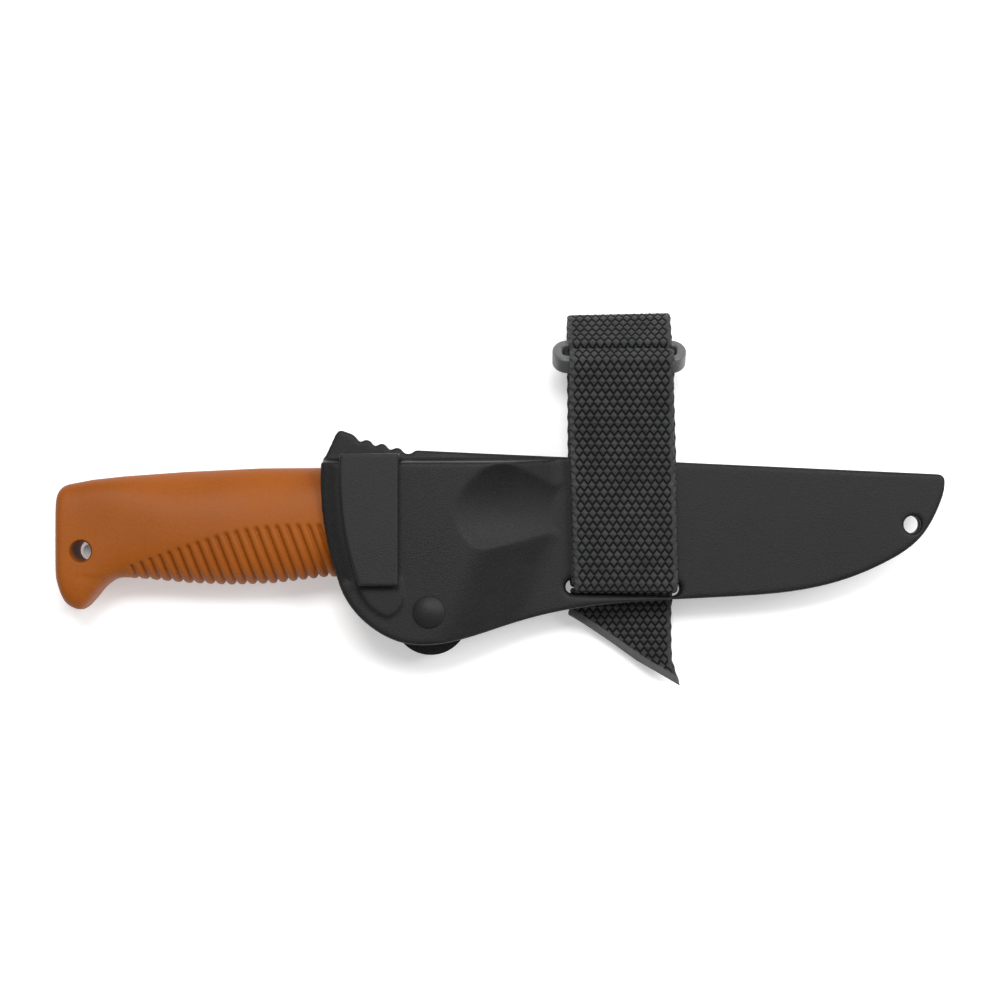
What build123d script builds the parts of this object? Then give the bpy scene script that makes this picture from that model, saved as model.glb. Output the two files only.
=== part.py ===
from build123d import *
import os
from math import atan2, cos, degrees, pi, radians, sin

# Rigging knife in its moulded belt sheath, millimetres.
# Working frame: +X from the handle to the sheath's tip, +Y to the blade's spine, +Z to the belt side,
# with Z = 0 on the blade's middle plane. place() moves it all onto the resting plane at the end.

# ---- blade ----
BLADE_LENGTH = 132.0
BLADE_THICKNESS = 4.2
SPINE_Y = 6.6
EDGE_Y = -20.6
BEVEL_HEIGHT = 9.0
EDGE_LAND = 0.25
TANG_HEIGHT = 9.0
TANG_Y = -12.4
TANG_TIP_HEIGHT = 3.6

# ---- handle ----
HANDLE_LENGTH = 108.0
HANDLE_FRONT_X = -20.1
HANDLE_THICKNESS = 21.0
HANDLE_TOP_Y = 9.2
HANDLE_BOTTOM_Y = -22.2
HANDLE_SWELL = 0.7
CORE_WALL = 4.6
BEAK_THICKNESS = 20.0
LANYARD_HOLE_D = 5.9
LANYARD_FLARE = 0.6
TANG_REACH = 3.3
HOLE_INSET = 8.0
RIB_PITCH = 3.08
RIB_GAP = 1.35
RIB_DEPTH = 0.8
RIB_SLANT = 20.0
RIB_FRONT_X = -41.0
RIB_START = 22.5
RIB_TOP_Y = -18.6
RIB_RISE = 11.8
GUARD_BACK_X = -37.0
GUARD_WIDTH = 9.0
GUARD_BOTTOM_Y = -34.0
GUARD_THICKNESS = 16.0
GUARD_TOP_Y = -12.0
GUARD_CORNER = 3.2

# ---- sheath ----
MOUTH_X = -51.3
PLATE_HALF = 4.2
POCKET_WALL = 2.3
HANDLE_CLEARANCE = 0.4
BLADE_CLEARANCE = 0.35
TIP_ROOM = 16.6
EDGE_ROUND = 0.6
TIP_HOLE_D = 5.2
SCOOP_RADIUS = 30.0
SCOOP_SLOPE = 18.0
SCOOP_START_X = -12.9
SCOOP_Y = -3.4
SPINE_WALL_Y = 11.5
SPINE_WALL_DRAFT = 4.5
POCKET_ROUND = 0.8
POCKET_TOP_Y = 12.2
POCKET_END_X = 24.0
SLOPE_CREST_X = -0.5
SLOPE_RUN = 17.5
SLOPE_ROUND = 14.0
CORNER_CREST = (-13.0, -31.0)
CORNER_RUN = 19.0
CORNER_ANGLE = -22.0
COLLAR_WIDTH = 4.4
COLLAR_DROP = 1.2
COLLAR_END_Y = -23.6
RIM_RADIUS = 86.0
RIM_MIDDLE_Y = 5.9
RIM_END_Y = -23.4
SPINE_END = (-24.6, 14.4)
SERRATIONS = 3
SCALLOPS = 4
SERRATION_STEP = 4.42
SERRATION_RISE = 1.13
SERRATION_DEPTH = 1.4
PIN_D = 2.0
PIN_LENGTH = 5.0

# ---- belt clip ----
CLIP_THICKNESS = 2.4
CLIP_GAP = 2.0
CLIP_RIGHT_X = -28.8
CLIP_TIP_Y = -24.4
CLIP_LEG_Y = 11.9
CLIP_WIDTH = 16.6
CLIP_END_WIDTH = 11.2
CLIP_ROOM = 0.3
BEAD_RADIUS = 1.6
BEAD_Z = 6.4
BEAD_CLEARANCE = 0.08
PAD_HEIGHT = 0.6

# ---- lever and its rivet ----
RIVET_X = -20.2
RIVET_Y = -31.9
RIVET_D = 4.8
RIVET_HEAD_D = 9.0
RIVET_HEAD_HEIGHT = 1.8
LEVER_THICKNESS = 2.6
LEVER_GAP = 0.15
LEVER_BORE_CLEARANCE = 0.05
WASHER_THICKNESS = 0.5
HUB_RADIUS = 6.6
PAD_RADIUS = 11.0
PAD_OFFSET = 2.3
NOSE_RADIUS = 1.6
NOSE_REACH = 11.2
NOSE_ANGLE = 216.0
LOCK_SWING = 31.0
PAD_START_ANGLE = 231.0
PAD_END_ANGLE = 338.0
ARM_ANGLE = 18.0
ARM_WIDTH = 6.4
ARM_LENGTH = 23.0
ARM_OFFSET = 7.7
SWEEP_CLEARANCE = 0.5
BEYOND = 40.0
FAR_BEYOND = 60.0

# ---- webbing and ring ----
WEB_WIDTH = 30.0
WEB_THICKNESS = 1.6
WEB_GAP = 0.15
WEB_X = 35.2
SLOT_Y = -25.4
SLOT_TILT = -1.4
SLOT_SIDE_CLEARANCE = 1.6
SLOT_FLARE = 0.9
SLOT_ROOM = 0.07
LOOP_REACH_Y = 54.5
TAIL_END_Y = -54.8
TAIL_LEFT_Y = -33.4
RING_X = 34.4
RING_Y = 41.35
RING_Z = 3.0
RING_TILT = 45.0
RING_BAR = 2.5
RING_THICKNESS = 5.4
RING_END = 2.9
RING_SLOT_ROOM = 0.6
RING_PLAY = 0.35
THREAD_D = 0.5
THREAD_ROWS = 3
THREAD_Y = 45.0
THREAD_STEP = 1.6

# ---- sizes that follow ----
HANDLE_BACK_X = HANDLE_FRONT_X - HANDLE_LENGTH
BLADE_TIP_X = HANDLE_FRONT_X + BLADE_LENGTH
SHEATH_TIP_X = BLADE_TIP_X + TIP_ROOM
POCKET_HALF = HANDLE_THICKNESS / 2 + HANDLE_CLEARANCE
PLATEAU_HALF = POCKET_HALF + POCKET_WALL
BLADE_SLOT_HALF = BLADE_THICKNESS / 2 + BLADE_CLEARANCE
WEB_STEP = WEB_THICKNESS + WEB_GAP
SLOT_HEIGHT = 2 * WEB_STEP + WEB_WIDTH * sin(radians(abs(SLOT_TILT))) + SLOT_ROOM
SLOT_LENGTH = WEB_WIDTH + 2 * SLOT_SIDE_CLEARANCE
RING_SLOT = 2 * WEB_STEP + RING_SLOT_ROOM
RING_HEIGHT = RING_SLOT + 2 * RING_BAR
HOLE_X = HANDLE_BACK_X + HOLE_INSET
HOLE_Y = -14.8
TIP_HOLE_X = SHEATH_TIP_X - 9.4
TIP_HOLE_Y = -7.1
LEVER_TOP_Z = -PLATE_HALF - LEVER_GAP
LEVER_LOW_Z = LEVER_TOP_Z - LEVER_THICKNESS
FAR = 200.0


def slab(low, high, face):
    """The face, drawn at z = 0, as a prism from low to high."""
    return Pos(0, 0, low) * extrude(face, amount=high - low)


def half_space(x=None, y=None, z=None):
    """A big block from each limit: (low, high) along the named axes."""
    spans = [s or (-FAR, FAR) for s in (x, y, z)]
    size = [high - low for low, high in spans]
    middle = [(high + low) / 2 for low, high in spans]
    return Pos(*middle) * Box(*size)


def closed(*curves):
    """A face inside curves that meet end to end."""
    return make_face([edge for curve in curves for edge in curve.edges()])


def both_sides(shape):
    return shape + mirror(shape, about=Plane.XY)


# ---------------------------------------------------------------- handle

def butt(dx, y):
    """A point given from the handle's back end."""
    return (HANDLE_BACK_X + dx, y)


def barrel(inset=0.0):
    """The barrel: its side outline as a prism with well rounded long edges, smaller all round by inset."""
    top = Spline(
        butt(3.4 + inset, 4.4 - inset),
        butt(11.1, 6.1 - inset),
        butt(20.3, 7.0 - inset),
        butt(38.6, 8.2 - inset),
        butt(57.0, HANDLE_TOP_Y - inset),
        (MOUTH_X, HANDLE_TOP_Y - inset),
        (HANDLE_FRONT_X - inset, HANDLE_TOP_Y - 0.2 - inset),
    )
    low = Spline(
        butt(3.4 + inset, -25.6 + inset),
        butt(20.3, -22.6 + inset),
        butt(38.6, -23.9 + inset),
        butt(52.0, -24.5 + inset),
        (MOUTH_X - 4.0, HANDLE_BOTTOM_Y - HANDLE_SWELL + inset),
        (GUARD_BACK_X - 5.0, HANDLE_BOTTOM_Y + inset),
        (HANDLE_FRONT_X - inset, HANDLE_BOTTOM_Y + 0.4 + inset),
    )
    face = closed(top, Line(top @ 1, low @ 1), low, Line(low @ 0, top @ 0))
    body = extrude(face, amount=HANDLE_THICKNESS / 2 - inset, both=True)
    long = body.faces().filter_by(Axis.Z).edges().filter_by(lambda e: e.length > 60)
    return fillet(long, HANDLE_THICKNESS * 0.42 - inset)


def beak_face():
    """Side outline of the butt with its hooked beak."""
    back = Line(butt(0, -3.0), butt(0, -22.5))
    heel = Spline(butt(0, -22.5), butt(1.4, -26.5), butt(3.4, -29.7), butt(6.2, -31.6), butt(8.4, -31.9))
    tip = ThreePointArc(butt(8.4, -31.9), butt(9.6, -31.3), butt(10.6, -30.2))
    throat = Spline(
        butt(10.6, -30.2), butt(12.4, -28.0), butt(14.6, -25.2), butt(18.0, -23.0), butt(22.5, -22.2)
    )
    front = Line(butt(22.5, -22.2), butt(22.5, 0.0))
    top = Line(butt(22.5, 0.0), butt(3.0, 0.0))
    corner = ThreePointArc(butt(3.0, 0.0), butt(0.9, -0.9), butt(0, -3.0))
    return closed(back, heel, tip, throat, front, top, corner)


def guard():
    face = Pos(GUARD_BACK_X + GUARD_WIDTH / 2, (GUARD_BOTTOM_Y + GUARD_TOP_Y) / 2) * RectangleRounded(
        GUARD_WIDTH, GUARD_TOP_Y - GUARD_BOTTOM_Y, GUARD_CORNER
    )
    return extrude(face, amount=GUARD_THICKNESS / 2, both=True)


def rib_cutter():
    """Slanted grooves below a rising curve, kept off everything deeper than the groove."""
    count = int((RIB_FRONT_X - HANDLE_BACK_X - RIB_START) / RIB_PITCH)
    grooves = []
    for i in range(count):
        x = HANDLE_BACK_X + RIB_START + i * RIB_PITCH
        along = i / (count - 1)
        top = RIB_TOP_Y + RIB_RISE * sin(min(along * 1.3, 1.0) * pi / 2)
        groove = Pos(x, top, 0) * Rot(0, 0, RIB_SLANT) * Pos(0, -15.0, 0) * Box(RIB_GAP, 30.0, 40.0)
        grooves.append(groove)
    return Part() + grooves - barrel(RIB_DEPTH)


def lanyard_bore():
    """The lanyard hole, with a small flare at each face of the butt."""
    radius = LANYARD_HOLE_D / 2
    flare = Cone(radius, radius + 2 * LANYARD_FLARE, 2 * LANYARD_FLARE)
    mouth = Pos(HOLE_X, HOLE_Y, BEAK_THICKNESS / 2) * flare
    return Pos(HOLE_X, HOLE_Y, 0) * Cylinder(radius, 60) + both_sides(mouth)


def lever_point(radius, angle):
    return (RIVET_X + radius * cos(radians(angle)), RIVET_Y + radius * sin(radians(angle)))


def nose_path(room):
    """Where the lever's nose and its web pass, as a face: a sector with a round-ended finger at each side."""
    lock = NOSE_ANGLE - LOCK_SWING
    wide = NOSE_RADIUS + room
    corners = [(RIVET_X, RIVET_Y), lever_point(2 * NOSE_REACH, lock), lever_point(2 * NOSE_REACH, NOSE_ANGLE)]
    wedge = make_face(Polyline(*corners, close=True))
    path = Pos(RIVET_X, RIVET_Y) * Circle(NOSE_REACH + wide) & wedge
    for angle in (lock, NOSE_ANGLE):
        finger = Pos(NOSE_REACH / 2, 0) * SlotOverall(NOSE_REACH + 2 * wide, 2 * wide)
        path += Pos(RIVET_X, RIVET_Y) * Rot(0, 0, angle) * finger
    return path


def handle_grip():
    outer = barrel() + fillet_long(extrude(beak_face(), amount=BEAK_THICKNESS / 2, both=True), 2.0) + guard()
    outer -= rib_cutter()
    outer -= core_shape()
    outer -= lanyard_bore()
    outer -= slab(LEVER_LOW_Z - SWEEP_CLEARANCE, LEVER_TOP_Z + SWEEP_CLEARANCE, nose_path(SWEEP_CLEARANCE))
    return outer


def fillet_long(prism, radius):
    """Rounds the two flat ends of a prism drawn on z = 0."""
    ends = prism.faces().filter_by(Axis.Z)
    return fillet(ends.edges(), radius)


def core_shape():
    """Hard core round the tang, without its slot."""
    long = HANDLE_LENGTH - 8.0
    high = HANDLE_TOP_Y - HANDLE_BOTTOM_Y - 2 * CORE_WALL
    middle = (HANDLE_TOP_Y + HANDLE_BOTTOM_Y) / 2 - 1.5
    thick = HANDLE_THICKNESS - 2 * CORE_WALL
    body = Pos(HANDLE_FRONT_X - long / 2, middle, 0) * Box(long, high - 4.0, thick)
    return fillet(body.edges().filter_by(Axis.X), 3.0)


def tang_face():
    tip_x = HOLE_X + LANYARD_HOLE_D / 2 - TANG_REACH
    half = TANG_TIP_HEIGHT / 2
    narrow = Pos((tip_x + HANDLE_BACK_X + 30.0) / 2, HOLE_Y + 0.2) * RectangleRounded(
        HANDLE_BACK_X + 30.0 - tip_x, TANG_TIP_HEIGHT, half * 0.96
    )
    taper = make_face(
        Polyline(
            (HANDLE_BACK_X + 24.0, HOLE_Y + 0.2 - half),
            (HANDLE_BACK_X + 24.0, HOLE_Y + 0.2 + half),
            (HANDLE_FRONT_X, TANG_Y + TANG_HEIGHT + 3.0),
            (HANDLE_FRONT_X, TANG_Y - TANG_HEIGHT / 2),
            close=True,
        )
    )
    return narrow + taper


def handle_core():
    return core_shape() - lanyard_bore() - extrude(tang_face(), amount=BLADE_THICKNESS / 2, both=True)


# ---------------------------------------------------------------- blade

def blade_face(grow=0.0):
    """Blade outline ahead of the handle, made larger all round by grow."""
    heel = HANDLE_FRONT_X
    belly_x = BLADE_TIP_X - 42.0
    tip_y = SPINE_Y - 3.4
    spine = Line((heel, SPINE_Y + grow), (BLADE_TIP_X - 18.0, SPINE_Y - 0.6 + grow))
    drop = Line((BLADE_TIP_X - 18.0, SPINE_Y - 0.6 + grow), (BLADE_TIP_X + grow, tip_y + grow))
    nose = Line((BLADE_TIP_X + grow, tip_y + grow), (BLADE_TIP_X + grow, tip_y - 0.3 - grow))
    belly = TangentArc((belly_x, EDGE_Y - grow), (BLADE_TIP_X + grow, tip_y - 0.3 - grow), tangent=(1, 0))
    edge = Line((belly_x, EDGE_Y - grow), (heel, EDGE_Y - grow))
    back = Line((heel, EDGE_Y - grow), (heel, SPINE_Y + grow))
    return closed(spine, drop, nose, belly, edge, back)


def bevelled():
    """A plate whose faces slope to the edge, running past the spine and the heel."""
    heel = HANDLE_FRONT_X - 2 * BEVEL_HEIGHT
    high = SPINE_Y + 2 * BEVEL_HEIGHT
    belly_x = BLADE_TIP_X - 42.0
    end = (BLADE_TIP_X, SPINE_Y - 3.7)
    belly = TangentArc((belly_x, EDGE_Y), end, tangent=(1, 0))
    past = Vector(*end) + (belly % 1) * 2 * BEVEL_HEIGHT
    rest = Polyline(tuple(past), (past.X, high), (heel, high), (heel, EDGE_Y), (belly_x, EDGE_Y))
    face = closed(belly, Line(end, tuple(past)), rest)
    rise = BLADE_THICKNESS / 2 - EDGE_LAND
    slope = degrees(atan2(BEVEL_HEIGHT, rise))
    half = extrude(face, amount=EDGE_LAND) + Pos(0, 0, EDGE_LAND) * extrude(face, amount=rise, taper=slope)
    return both_sides(half)


def blade():
    body = extrude(blade_face(), amount=BLADE_THICKNESS / 2, both=True) & bevelled()
    tang = extrude(tang_face(), amount=BLADE_THICKNESS / 2, both=True)
    return body + tang


# ---------------------------------------------------------------- sheath

def tip(dx, y):
    """A point given back from the sheath's tip end."""
    return (SHEATH_TIP_X + dx, y)


def thumb_ramp():
    """The ramp on the spine edge, from the spine's end to the mouth: teeth, a peak and a scalloped face."""
    first = Vector(-27.2, 13.4)
    step = Vector(-SERRATION_STEP, SERRATION_RISE)
    high = Vector(0, SERRATION_DEPTH)

    def spot(teeth, height):
        return first + step * teeth + high * height

    curves = [ThreePointArc(SPINE_END, spot(0, 0), spot(0.26, 0.42))]
    for i in range(SERRATIONS):
        curves.append(ThreePointArc(spot(i + 0.26, 0.42), spot(i + 0.52, 0.85), spot(i + 0.78, 0.42)))
        rest = spot(i + 1.26, 0.42) if i + 1 < SERRATIONS else spot(i + 1.2, 0.5)
        curves.append(ThreePointArc(spot(i + 0.78, 0.42), spot(i + 1, 0), rest))
    shoulder = spot(SERRATIONS, 0) + Vector(-2.1, 2.2)
    left = shoulder + Vector(-3.1, 1.1)
    curves.append(Line(curves[-1] @ 1, shoulder))
    curves.append(Line(shoulder, left))
    curves.append(ThreePointArc(left, left + Vector(-0.8, 0.0), left + Vector(-1.3, -0.8)))
    at = curves[-1] @ 1
    leg = (Vector(MOUTH_X + 1.2, 12.4) - at) / SCALLOPS
    for _ in range(SCALLOPS):
        curves.append(ThreePointArc(at, at + leg * 0.5 + Vector(-0.35, 0.2), at + leg))
        at = at + leg
    return curves


def rim_point(y):
    """A point of the mouth's round rim at height y."""
    return (MOUTH_X + RIM_RADIUS - (RIM_RADIUS**2 - (y - RIM_MIDDLE_Y) ** 2) ** 0.5, y)


def sheath_face():
    """The sheath's plan outline."""
    ramp = thumb_ramp()
    collar_top = Line(ramp[-1] @ 1, rim_point(POCKET_TOP_Y))
    rim = ThreePointArc(rim_point(POCKET_TOP_Y), rim_point(-2.4), rim_point(RIM_END_Y))
    bulge = Spline(
        rim_point(RIM_END_Y),
        (MOUTH_X + 9.3, -31.3),
        (MOUTH_X + 15.7, -37.2),
        (MOUTH_X + 23.1, -40.7),
        (MOUTH_X + 31.4, -41.4),
        (MOUTH_X + 39.3, -40.2),
        (0.3, -36.6),
        (15.8, -32.4),
        (33.2, -29.9),
        tip(-53.8, -27.4),
    )
    belly = Spline(
        tip(-53.8, -27.4),
        tip(-31.0, -23.6),
        tip(-16.8, -17.8),
        tip(-6.4, -10.0),
        tip(-1.0, 0.2),
        tip(0.0, 5.4),
        tangents=[bulge % 1, (0.05, 1.0)],
    )
    corner = ThreePointArc(tip(0.0, 5.4), tip(-0.6, 6.9), tip(-2.2, 7.5))
    spine = Line(tip(-2.2, 7.5), SPINE_END)
    return closed(*ramp, collar_top, rim, bulge, belly, corner, spine)


def pocket_region():
    """Plan of the raised handle pocket, before its right end is sloped."""
    left, low = -60.0, -50.0
    right, high = POCKET_END_X, POCKET_TOP_Y
    block = Polyline((left, high), (left, low), (right, low), (right, high), close=True)
    return sheath_face() & make_face(block)


def end_slope():
    """Cutters that bring the pocket's right end down to the plate, straight and at the lower corner."""
    straight = soft_slope((SLOPE_CREST_X, 0.0), SLOPE_RUN, 0.0)
    corner = soft_slope(CORNER_CREST, CORNER_RUN, CORNER_ANGLE)
    return [straight, corner]


def soft_slope(crest, run, turn):
    """Everything above an S-shaped slope that falls from the plateau, at crest, to the plate after run."""
    skin = 0.06
    high = PLATEAU_HALF + skin
    low = PLATE_HALF - skin
    slope = FilletPolyline((-40.0, high), (0.0, high), (run, low), (90.0, low), radius=SLOPE_ROUND)
    lid = Polyline((90.0, low), (90.0, high + 4.0), (-40.0, high + 4.0), (-40.0, high))
    section = Plane(origin=(0, 0, 0), x_dir=(1, 0, 0), z_dir=(0, -1, 0)) * closed(slope, lid)
    return Pos(*crest) * Rot(0, 0, turn) * extrude(section, amount=90.0, both=True)


def scoop():
    """Tilted cylinder that hollows the slope on the middle line."""
    start = Vector(SCOOP_START_X, SCOOP_Y, PLATEAU_HALF)
    down = Vector(cos(radians(SCOOP_SLOPE)), 0, -sin(radians(SCOOP_SLOPE)))
    up = Vector(sin(radians(SCOOP_SLOPE)), 0, cos(radians(SCOOP_SLOPE)))
    axis = Plane(origin=start + up * SCOOP_RADIUS - down * 40.0, x_dir=(0, 1, 0), z_dir=down)
    return axis * extrude(Circle(SCOOP_RADIUS), amount=120) & half_space(z=(PLATE_HALF, FAR))


def raised_half():
    """Belt side of the raised pocket, solid, with its rounded edges and slopes."""
    body = extrude(pocket_region(), amount=PLATEAU_HALF)
    wall = Rot(SPINE_WALL_DRAFT, 0, 0) * Box(300, 20, 40, align=(Align.CENTER, Align.MIN, Align.MIN))
    body -= Pos(0, SPINE_WALL_Y, PLATE_HALF) * wall
    top = body.faces().sort_by(Axis.Z)[-1]
    long = top.edges().filter_by(lambda e: e.length > 30.0 and e.center().X > MOUTH_X + 5.0)
    body = fillet(long, POCKET_ROUND)
    for cutter in end_slope() + [scoop()]:
        body -= cutter
    return body


def outer_half():
    """One half of the sheath's outside, solid: the plate with the raised pocket on it."""
    plate = extrude(sheath_face(), amount=PLATE_HALF)
    top = plate.faces().sort_by(Axis.Z)[-1]
    rim = top.edges().filter_by(lambda e: e.length > 40.0 and e.center().X > -20.0)
    plate = fillet(rim, EDGE_ROUND)
    body = plate + raised_half()
    return body - scoop() - collar_cut()


def collar_cut():
    """Cone that slopes the pocket's face off towards the mouth's rim."""
    reach = 2 * COLLAR_WIDTH
    fall = COLLAR_DROP * reach / COLLAR_WIDTH
    inner = RIM_RADIUS - COLLAR_WIDTH
    section = Plane.XZ * make_face(
        Polyline(
            (inner, PLATEAU_HALF),
            (inner + reach, PLATEAU_HALF - fall),
            (inner + reach, PLATEAU_HALF + 1.0),
            (inner, PLATEAU_HALF + 1.0),
            close=True,
        )
    )
    cone = Pos(MOUTH_X + RIM_RADIUS, RIM_MIDDLE_Y, 0) * revolve(section, Axis.Z)
    return cone & half_space(x=(-FAR, 0), y=(COLLAR_END_Y, FAR))


def pocket_hollow():
    """Room for the handle, the guard and the blade, open at the mouth."""
    low = HANDLE_BOTTOM_Y - HANDLE_SWELL
    high = HANDLE_TOP_Y - low + 2 * HANDLE_CLEARANCE
    middle = (HANDLE_TOP_Y + low) / 2
    end_x = HANDLE_FRONT_X + HANDLE_CLEARANCE
    section = Plane(origin=(end_x, middle, 0), x_dir=(0, 1, 0), z_dir=(-1, 0, 0)) * RectangleRounded(
        high, 2 * POCKET_HALF, POCKET_HALF * 0.84
    )
    room = extrude(section, amount=60)
    low = GUARD_BOTTOM_Y - HANDLE_CLEARANCE
    front = GUARD_BACK_X + GUARD_WIDTH + HANDLE_CLEARANCE
    half = GUARD_THICKNESS / 2 + HANDLE_CLEARANCE
    channel = half_space(x=(-100, front), y=(low, -10), z=(-half, half))
    lip = half_space(x=(-100, GUARD_BACK_X - 1.5), y=(-60, -10), z=(-half, half))
    blade_room = extrude(blade_face(BLADE_CLEARANCE + 0.4), amount=BLADE_SLOT_HALF, both=True)
    return room + channel + lip + blade_room


def strap_slot():
    """The webbing's slot through the plate, flared at both faces so that the webbing turns easily."""
    face = Pos(WEB_X + 0.3, SLOT_Y) * Rot(0, 0, SLOT_TILT) * SlotOverall(SLOT_LENGTH, SLOT_HEIGHT)
    flare = Pos(0, 0, PLATE_HALF - SLOT_FLARE) * extrude(face, amount=2 * SLOT_FLARE, taper=-45)
    return slab(-FAR, FAR, face) + both_sides(flare)


def tip_hole():
    return Pos(TIP_HOLE_X, TIP_HOLE_Y, 0) * Cylinder(TIP_HOLE_D / 2, 40)


def seam_pins():
    """Pins across the seam: along the spine, along the edge and at the tip."""
    spots = [
        (-6.0, 11.2),
        (16.0, 9.6),
        tip(-62.5, 8.0),
        (2.0, -32.0),
        (14.0, -27.6),
        tip(-66.5, -24.9),
        tip(-5.4, 2.6),
    ]
    return [Pos(x, y, 0) * Cylinder(PIN_D / 2, PIN_LENGTH) for x, y in spots]


def clip_room():
    """Recess for the clip's leg, with the round socket of its bead."""
    left = CLIP_RIGHT_X - CLIP_WIDTH
    recess = half_space(
        x=(left - CLIP_ROOM, CLIP_RIGHT_X + CLIP_ROOM),
        y=(CLIP_LEG_Y - CLIP_THICKNESS / 2 - CLIP_ROOM, 40),
        z=(BEAD_Z, FAR),
    )
    socket = Pos((left + CLIP_RIGHT_X) / 2, CLIP_LEG_Y, BEAD_Z) * Rot(0, 90, 0) * Cylinder(
        BEAD_RADIUS + BEAD_CLEARANCE, CLIP_WIDTH + 2 * CLIP_ROOM
    )
    return recess + socket


def clip_pad():
    """The D-shaped pad under the clip's free end."""
    x = CLIP_RIGHT_X
    left = ThreePointArc((x - 11.6, CLIP_TIP_Y), (x - 9.1, -29.2), (x - 3.6, -33.2))
    low = ThreePointArc((x - 3.6, -33.2), (x - 0.4, -31.4), (x + 0.9, -27.0))
    right = Line((x + 0.9, -27.0), (x + 0.4, -22.6))
    back = Polyline((x + 0.4, -22.6), (x - 11.6, -22.6), (x - 11.6, CLIP_TIP_Y))
    return slab(PLATEAU_HALF - 0.4, PLATEAU_HALF + PAD_HEIGHT, closed(left, low, right, back))


def bore(diameter):
    return Pos(RIVET_X, RIVET_Y, 0) * Cylinder(diameter / 2, 60)


def sheath_back_shell():
    body = outer_half() + clip_pad()
    body -= pocket_hollow()
    body -= strap_slot()
    body -= clip_room()
    body -= bore(RIVET_D)
    body -= tip_hole()
    body -= Part() + seam_pins()
    return body


def lever_sweep():
    """Everything outside the plate that the lever passes on its way."""
    margin = 5.0
    centre = Pos(RIVET_X, RIVET_Y)
    stop = lever_point(BEYOND, ARM_ANGLE + 14)
    below = centre * Circle(PAD_RADIUS + PAD_OFFSET + 2 * SWEEP_CLEARANCE)
    below &= make_face(
        Polyline(
            (RIVET_X, RIVET_Y),
            lever_point(BEYOND, PAD_START_ANGLE - LOCK_SWING - margin),
            lever_point(FAR_BEYOND, 250),
            lever_point(FAR_BEYOND, 300),
            stop,
            close=True,
        )
    )
    start = lever_point(BEYOND, ARM_ANGLE - LOCK_SWING - 40)
    reach = Vector(ARM_LENGTH, ARM_OFFSET + ARM_WIDTH / 2).length + SWEEP_CLEARANCE
    arm = centre * Circle(reach) & make_face(Polyline((RIVET_X, RIVET_Y), start, stop, close=True))
    hub = centre * Circle(HUB_RADIUS + 2 * SWEEP_CLEARANCE)
    return slab(-FAR, -PLATE_HALF, hub + nose_path(SWEEP_CLEARANCE) + below + arm)


def sheath_front_shell():
    body = mirror(outer_half(), about=Plane.XY)
    body -= pocket_hollow()
    body -= strap_slot()
    body -= lever_sweep()
    body -= bore(RIVET_D)
    body -= tip_hole()
    body -= Part() + seam_pins()
    return body


# ---------------------------------------------------------------- belt clip

def belt_clip():
    right_x = CLIP_RIGHT_X
    left_x = right_x - CLIP_WIDTH
    end_x = right_x - CLIP_END_WIDTH
    low = PLATEAU_HALF + CLIP_GAP
    top_y = CLIP_LEG_Y + CLIP_THICKNESS / 2
    right = Line((right_x, top_y), (right_x, CLIP_TIP_Y))
    free_end = Line((right_x, CLIP_TIP_Y), (end_x, CLIP_TIP_Y))
    left = Spline((end_x, CLIP_TIP_Y), (left_x + 1.8, CLIP_TIP_Y + 12.4), (left_x, 2.0), (left_x, top_y))
    back = Line((left_x, top_y), (right_x, top_y))
    tongue = slab(low, low + CLIP_THICKNESS, closed(right, free_end, left, back))
    leg = half_space(
        x=(left_x, right_x), y=(CLIP_LEG_Y - CLIP_THICKNESS / 2, top_y), z=(BEAD_Z, low + CLIP_THICKNESS)
    )
    bead = Rot(0, 90, 0) * Cylinder(BEAD_RADIUS, CLIP_WIDTH)
    bead = Pos(right_x - CLIP_WIDTH / 2, CLIP_LEG_Y, BEAD_Z) * bead
    return soften_clip(tongue + leg + bead, low + CLIP_THICKNESS)


def soften_clip(body, top):
    edges = body.edges().filter_by(lambda e: abs(e.center().Z - top) < 0.01)
    return fillet(edges, 0.6)


# ---------------------------------------------------------------- lever and rivet

def dome(diameter, height):
    """A shallow domed head standing on z = 0."""
    flat = 0.35 * height
    rise = height - flat
    ball = ((diameter / 2) ** 2 + rise ** 2) / (2 * rise)
    cap = Pos(0, 0, height - ball) * Sphere(ball) & half_space(z=(0, FAR))
    return cap & Cylinder(diameter / 2, 60)


def pivot_rivet():
    low = LEVER_LOW_Z - WASHER_THICKNESS - 1.2
    shaft = Pos(RIVET_X, RIVET_Y, 0) * slab(low, PLATEAU_HALF, Circle(RIVET_D / 2))
    head = Pos(RIVET_X, RIVET_Y, PLATEAU_HALF) * dome(RIVET_HEAD_D, RIVET_HEAD_HEIGHT)
    return shaft + head


def rivet_cap():
    top = LEVER_LOW_Z - WASHER_THICKNESS
    head = mirror(dome(RIVET_HEAD_D, RIVET_HEAD_HEIGHT + 0.4), about=Plane.XY)
    return Pos(RIVET_X, RIVET_Y, top) * head - pivot_rivet()


def rivet_washer():
    ring = Circle(RIVET_HEAD_D / 2 + 0.6) - Circle(RIVET_D / 2 + LEVER_BORE_CLEARANCE)
    return Pos(RIVET_X, RIVET_Y, 0) * slab(LEVER_LOW_Z - WASHER_THICKNESS, LEVER_LOW_Z, ring)


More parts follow.
